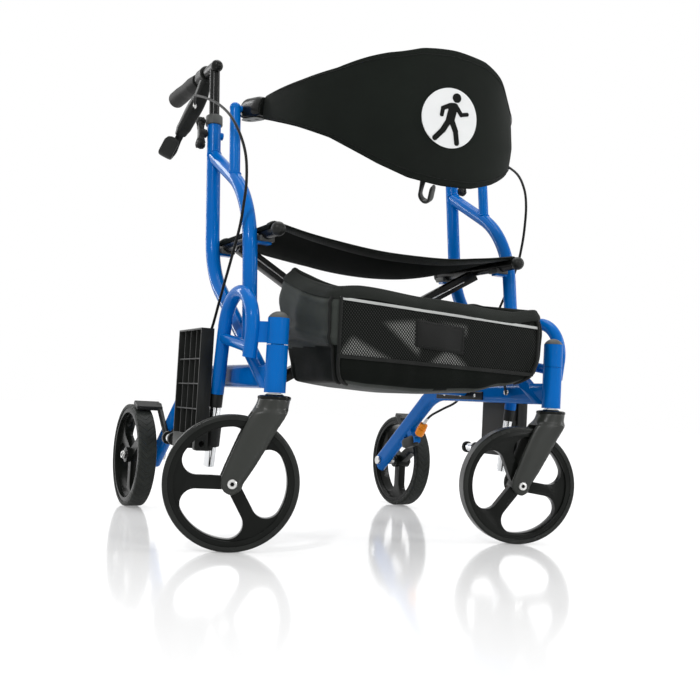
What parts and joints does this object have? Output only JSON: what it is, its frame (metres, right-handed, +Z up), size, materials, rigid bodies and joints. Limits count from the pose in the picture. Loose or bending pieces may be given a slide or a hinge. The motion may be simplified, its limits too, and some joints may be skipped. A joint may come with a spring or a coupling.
{
  "type": "rollator transport chair",
  "caption": "Side-folding walker with brake handles, sling seat and bag, which turns into a transport chair with swing-away footrests and a flip-over backrest.",
  "frame": {"origin": "on the floor, midway between the two side frames and between the caster stems and the rear axle", "axes": "+Z up, -Y to the front, +X to the user's left"},
  "size_m": [0.7569, 0.733, 0.863],
  "materials": {
    "blue_paint": "gloss",
    "black_steel": "satin",
    "chrome": "polished",
    "steel": "satin",
    "black_plastic": "satin",
    "grey_plastic": "satin",
    "orange_plastic": "gloss",
    "wheel_plastic": "satin",
    "tyre": "matte",
    "grip_rubber": "matte",
    "cable_sheath": "gloss",
    "sling_cloth": "woven",
    "bag_cloth": "mesh and woven",
    "sign_white": "matte"
  },
  "bodies": {
    "right_side": {"right_frame": "blue_paint", "right_saddles": "grey_plastic", "right_collar": "grey_plastic", "right_cable": "cable_sheath", "right_cable_adjuster": "orange_plastic", "right_rear_axle": "steel", "bag": "bag_cloth"},
    "left_side": {"left_frame": "blue_paint", "left_saddles": "grey_plastic", "left_collar": "grey_plastic", "left_cable": "cable_sheath", "left_cable_adjuster": "orange_plastic", "left_rear_axle": "steel"},
    "brace_a": {"brace_a": "black_steel", "brace_bolt": "steel", "left_rail_caps": "black_plastic"},
    "brace_b": {"brace_b": "black_steel", "right_rail_caps": "black_plastic", "seat_sling": "sling_cloth"},
    "backrest": {"right_knuckle": "black_plastic", "backrest": "sling_cloth", "backrest_disc": "sign_white"},
    "left_knuckle": {"left_knuckle": "black_plastic"},
    "right_handle": {"right_handle": "black_steel", "right_grip": "grip_rubber", "right_lever_housing": "black_plastic"},
    "right_lever": {"right_lever": "black_plastic"},
    "right_knob": {"right_knob": "black_plastic"},
    "right_rear_wheel": {"right_rear_hub": "wheel_plastic", "right_rear_tyre": "tyre"},
    "right_brake_shoe": {"right_brake_shoe": "black_plastic"},
    "right_fork": {"right_fork": "black_plastic", "right_caster_axle": "steel"},
    "right_caster_wheel": {"right_caster_hub": "wheel_plastic", "right_caster_tyre": "tyre"},
    "right_hanger": {"right_hanger": "blue_paint", "right_hanger_cap": "grey_plastic", "right_post_sleeve": "black_plastic"},
    "right_foot_post": {"right_foot_post": "chrome", "right_post_clamp": "black_plastic"},
    "right_footplate": {"right_footplate": "black_plastic"},
    "left_handle": {"left_handle": "black_steel", "left_grip": "grip_rubber", "left_lever_housing": "black_plastic"},
    "left_lever": {"left_lever": "black_plastic"},
    "left_knob": {"left_knob": "black_plastic"},
    "left_rear_wheel": {"left_rear_hub": "wheel_plastic", "left_rear_tyre": "tyre"},
    "left_brake_shoe": {"left_brake_shoe": "black_plastic"},
    "left_fork": {"left_fork": "black_plastic", "left_caster_axle": "steel"},
    "left_caster_wheel": {"left_caster_hub": "wheel_plastic", "left_caster_tyre": "tyre"},
    "left_hanger": {"left_hanger": "blue_paint", "left_hanger_cap": "grey_plastic", "left_post_sleeve": "black_plastic"},
    "left_foot_post": {"left_foot_post": "chrome", "left_post_clamp": "black_plastic"},
    "left_footplate": {"left_footplate": "black_plastic"}
  },
  "joints": [
    {"name": "fold", "type": "hinge", "parent": "right_side", "child": "brace_a", "pos_m": [-0.17, -0.07, 0.27], "axis": [0, -1, 0], "range_deg": [0, 50], "deforming": ["seat_sling", "bag", "backrest", "backrest_disc"]},
    {"name": "fold_cross", "type": "hinge", "parent": "brace_a", "child": "brace_b", "pos_m": [0, -0.055, 0.36596], "axis": [0, -1, 0], "range_deg": [-100, 0]},
    {"name": "fold_left", "type": "hinge", "parent": "brace_b", "child": "left_side", "pos_m": [0.17, -0.04, 0.27], "axis": [0, -1, 0], "range_deg": [0, 50]},
    {"name": "backrest_flip", "type": "hinge", "parent": "right_side", "child": "backrest", "pos_m": [-0.266, -0.04501, 0.737], "axis": [-1, 0, 0], "range_deg": [0, 180]},
    {"name": "left_knuckle_flip", "type": "hinge", "parent": "left_side", "child": "left_knuckle", "pos_m": [0.266, -0.04501, 0.737], "axis": [-1, 0, 0], "range_deg": [0, 180]},
    {"name": "right_handle_slide", "type": "slide", "parent": "right_side", "child": "right_handle", "axis": [0, 0.1392, 0.9903], "range_m": [-0.03, 0.08], "deforming": ["right_cable"]},
    {"name": "right_lever_pull", "type": "hinge", "parent": "right_handle", "child": "right_lever", "pos_m": [-0.266, 0.148, 0.812], "axis": [1, 0, 0], "range_deg": [0, 20], "stiffness_Nm_per_rad": 1},
    {"name": "right_knob_turn", "type": "hinge", "parent": "right_side", "child": "right_knob", "pos_m": [-0.266, 0.06047, 0.712], "axis": [1, 0, 0], "continuous": true},
    {"name": "right_rear_spin", "type": "hinge", "parent": "right_side", "child": "right_rear_wheel", "pos_m": [-0.314, 0.2905, 0.1015], "axis": [1, 0, 0], "continuous": true},
    {"name": "right_brake_press", "type": "hinge", "parent": "right_side", "child": "right_brake_shoe", "pos_m": [-0.266, 0.19, 0.146], "axis": [1, 0, 0], "range_deg": [-1.3, 0]},
    {"name": "right_caster_swivel", "type": "hinge", "parent": "right_side", "child": "right_fork", "pos_m": [-0.266, -0.2905, 0.25], "axis": [0, 0, 1], "continuous": true},
    {"name": "right_caster_spin", "type": "hinge", "parent": "right_fork", "child": "right_caster_wheel", "pos_m": [-0.32021, -0.27289, 0.1015], "axis": [0.309, 0.9511, 0], "continuous": true},
    {"name": "right_hanger_swing", "type": "hinge", "parent": "right_side", "child": "right_hanger", "pos_m": [-0.266, -0.2905, 0.33], "axis": [0, 0, 1], "range_deg": [0, 180]},
    {"name": "right_post_slide", "type": "slide", "parent": "right_hanger", "child": "right_foot_post", "axis": [0, -0.1564, 0.9877], "range_m": [-0.05, 0.02]},
    {"name": "right_plate_flip", "type": "hinge", "parent": "right_foot_post", "child": "right_footplate", "pos_m": [-0.323, -0.08, 0.15], "axis": [0, 1, 0], "range_deg": [-90, 0]},
    {"name": "left_handle_slide", "type": "slide", "parent": "left_side", "child": "left_handle", "axis": [0, 0.1392, 0.9903], "range_m": [-0.03, 0.08], "deforming": ["left_cable"]},
    {"name": "left_lever_pull", "type": "hinge", "parent": "left_handle", "child": "left_lever", "pos_m": [0.266, 0.148, 0.812], "axis": [1, 0, 0], "range_deg": [0, 20], "stiffness_Nm_per_rad": 1},
    {"name": "left_knob_turn", "type": "hinge", "parent": "left_side", "child": "left_knob", "pos_m": [0.266, 0.06047, 0.712], "axis": [1, 0, 0], "continuous": true},
    {"name": "left_rear_spin", "type": "hinge", "parent": "left_side", "child": "left_rear_wheel", "pos_m": [0.314, 0.2905, 0.1015], "axis": [1, 0, 0], "continuous": true},
    {"name": "left_brake_press", "type": "hinge", "parent": "left_side", "child": "left_brake_shoe", "pos_m": [0.266, 0.19, 0.146], "axis": [1, 0, 0], "range_deg": [-1.3, 0]},
    {"name": "left_caster_swivel", "type": "hinge", "parent": "left_side", "child": "left_fork", "pos_m": [0.266, -0.2905, 0.25], "axis": [0, 0, 1], "continuous": true},
    {"name": "left_caster_spin", "type": "hinge", "parent": "left_fork", "child": "left_caster_wheel", "pos_m": [0.21179, -0.27289, 0.1015], "axis": [0.309, 0.9511, 0], "continuous": true},
    {"name": "left_hanger_swing", "type": "hinge", "parent": "left_side", "child": "left_hanger", "pos_m": [0.266, -0.2905, 0.33], "axis": [0, 0, -1], "range_deg": [0, 180]},
    {"name": "left_post_slide", "type": "slide", "parent": "left_hanger", "child": "left_foot_post", "axis": [0, -0.1564, 0.9877], "range_m": [-0.05, 0.02]},
    {"name": "left_plate_flip", "type": "hinge", "parent": "left_foot_post", "child": "left_footplate", "pos_m": [0.323, -0.08, 0.15], "axis": [0, -1, 0], "range_deg": [-90, 0]}
  ],
  "couplings": [
    {"joint": "fold_cross", "follows": "fold", "ratio": -2},
    {"joint": "fold_left", "follows": "fold", "ratio": 1},
    {"joint": "left_knuckle_flip", "follows": "backrest_flip", "ratio": 1},
    {"joint": "right_brake_press", "follows": "right_lever_pull", "ratio": -0.065},
    {"joint": "left_brake_press", "follows": "left_lever_pull", "ratio": -0.065}
  ]
}
